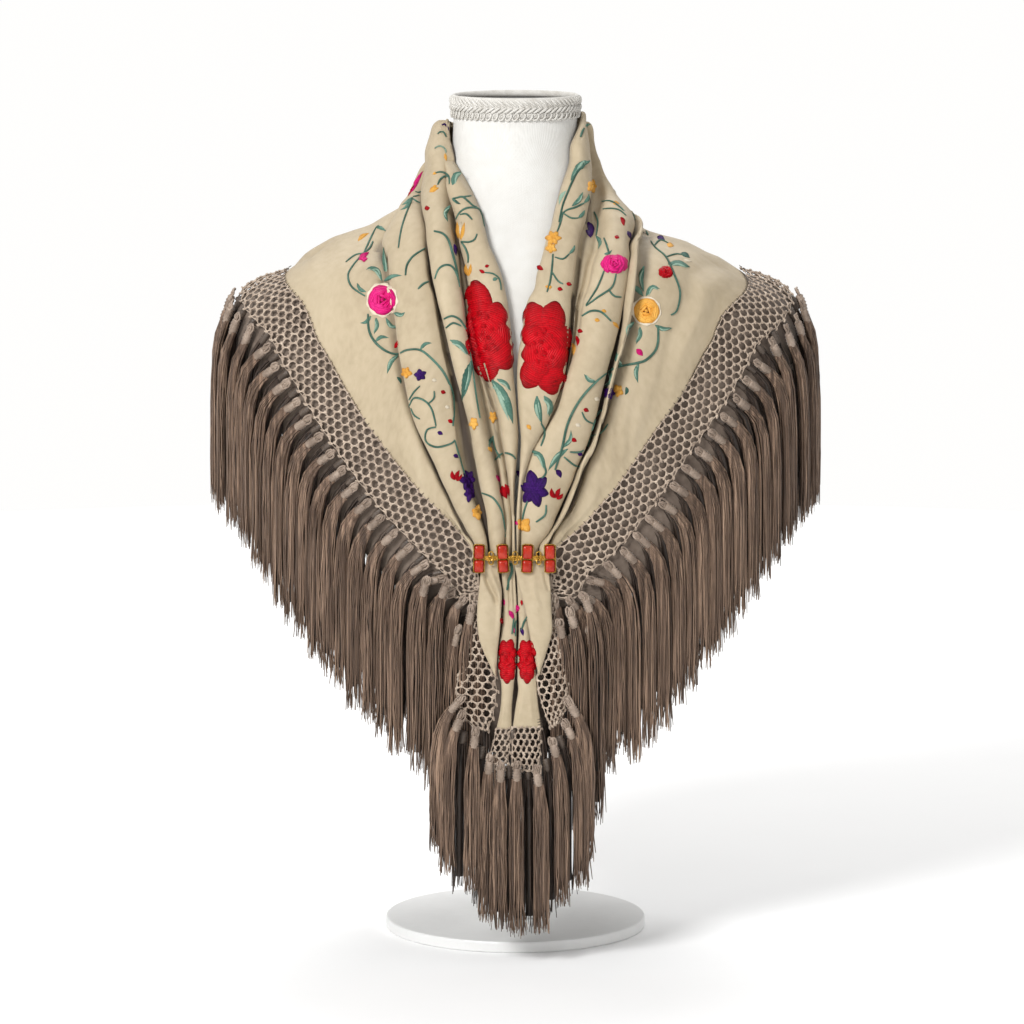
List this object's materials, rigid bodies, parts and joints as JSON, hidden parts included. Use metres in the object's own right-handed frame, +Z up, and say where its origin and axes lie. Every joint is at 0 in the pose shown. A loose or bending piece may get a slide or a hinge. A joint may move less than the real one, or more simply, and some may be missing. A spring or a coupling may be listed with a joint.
{
  "type": "flamenco shawl on limbless dress form",
  "caption": "Embroidered triangular shawl with knotted net and tassel fringe, drawn together by a bar clip, on a limbless neck and bust form with a round base.",
  "frame": {"origin": "centre of the base disc's underside, on the surface that the stand rests on", "axes": "+Z up along the neck, -Y towards the front where the clip is, +X to the right as seen from the front"},
  "size_m": [0.5358, 0.3013, 0.739],
  "materials": {
    "linen": "off-white linen cover with a fine plain weave",
    "braid": "cream herringbone braid with a looped edge",
    "neck_cap": "matte black, recessed in the neck",
    "stand": "satin white lacquer",
    "shawl_silk": "beige silk crepe with satin-stitch flowers in raised coloured silk",
    "under_silk": "grey-brown silk, seen in shade",
    "net_cord": "knotted taupe silk cord in an open net",
    "fringe_silk": "taupe silk strands with a soft sheen, bound heads",
    "gold": "polished gold-coloured metal",
    "coral": "polished coral-red stone"
  },
  "bodies": {
    "root": {"form_body": "linen", "neck_braid": "braid", "neck_cap": "neck_cap", "base_disc": "stand", "pole_foot": "stand", "pole": "stand", "pole_top_plate": "stand", "shawl_cloth_back": "shawl_silk", "shawl_cloth_left": "shawl_silk", "shawl_cloth_right": "shawl_silk", "under_cloth_back": "under_silk", "under_cloth_left": "under_silk", "under_cloth_right": "under_silk", "under_cloth_centre": "under_silk", "net_back": "net_cord", "net_left": "net_cord", "net_right": "net_cord", "fringe_back": "fringe_silk", "fringe_left": "fringe_silk", "fringe_right": "fringe_silk", "fringe_tail": "fringe_silk", "tail_leaf_left": "shawl_silk", "tail_leaf_right": "shawl_silk", "tail_strip_left": "shawl_silk", "tail_strip_right": "shawl_silk", "tail_net_left": "net_cord", "tail_net_right": "net_cord", "tail_net_foot": "net_cord", "clip_bar_1": "gold", "clip_stone_1_upper": "coral", "clip_stone_1_lower": "coral", "clip_bar_2": "gold", "clip_stone_2_upper": "coral", "clip_stone_2_lower": "coral", "clip_bar_3": "gold", "clip_stone_3_upper": "coral", "clip_stone_3_lower": "coral", "clip_bar_4": "gold", "clip_stone_4_upper": "coral", "clip_stone_4_lower": "coral", "clip_link_1": "gold", "clip_link_2": "gold", "clip_link_3": "gold"}
  },
  "joints": []
}
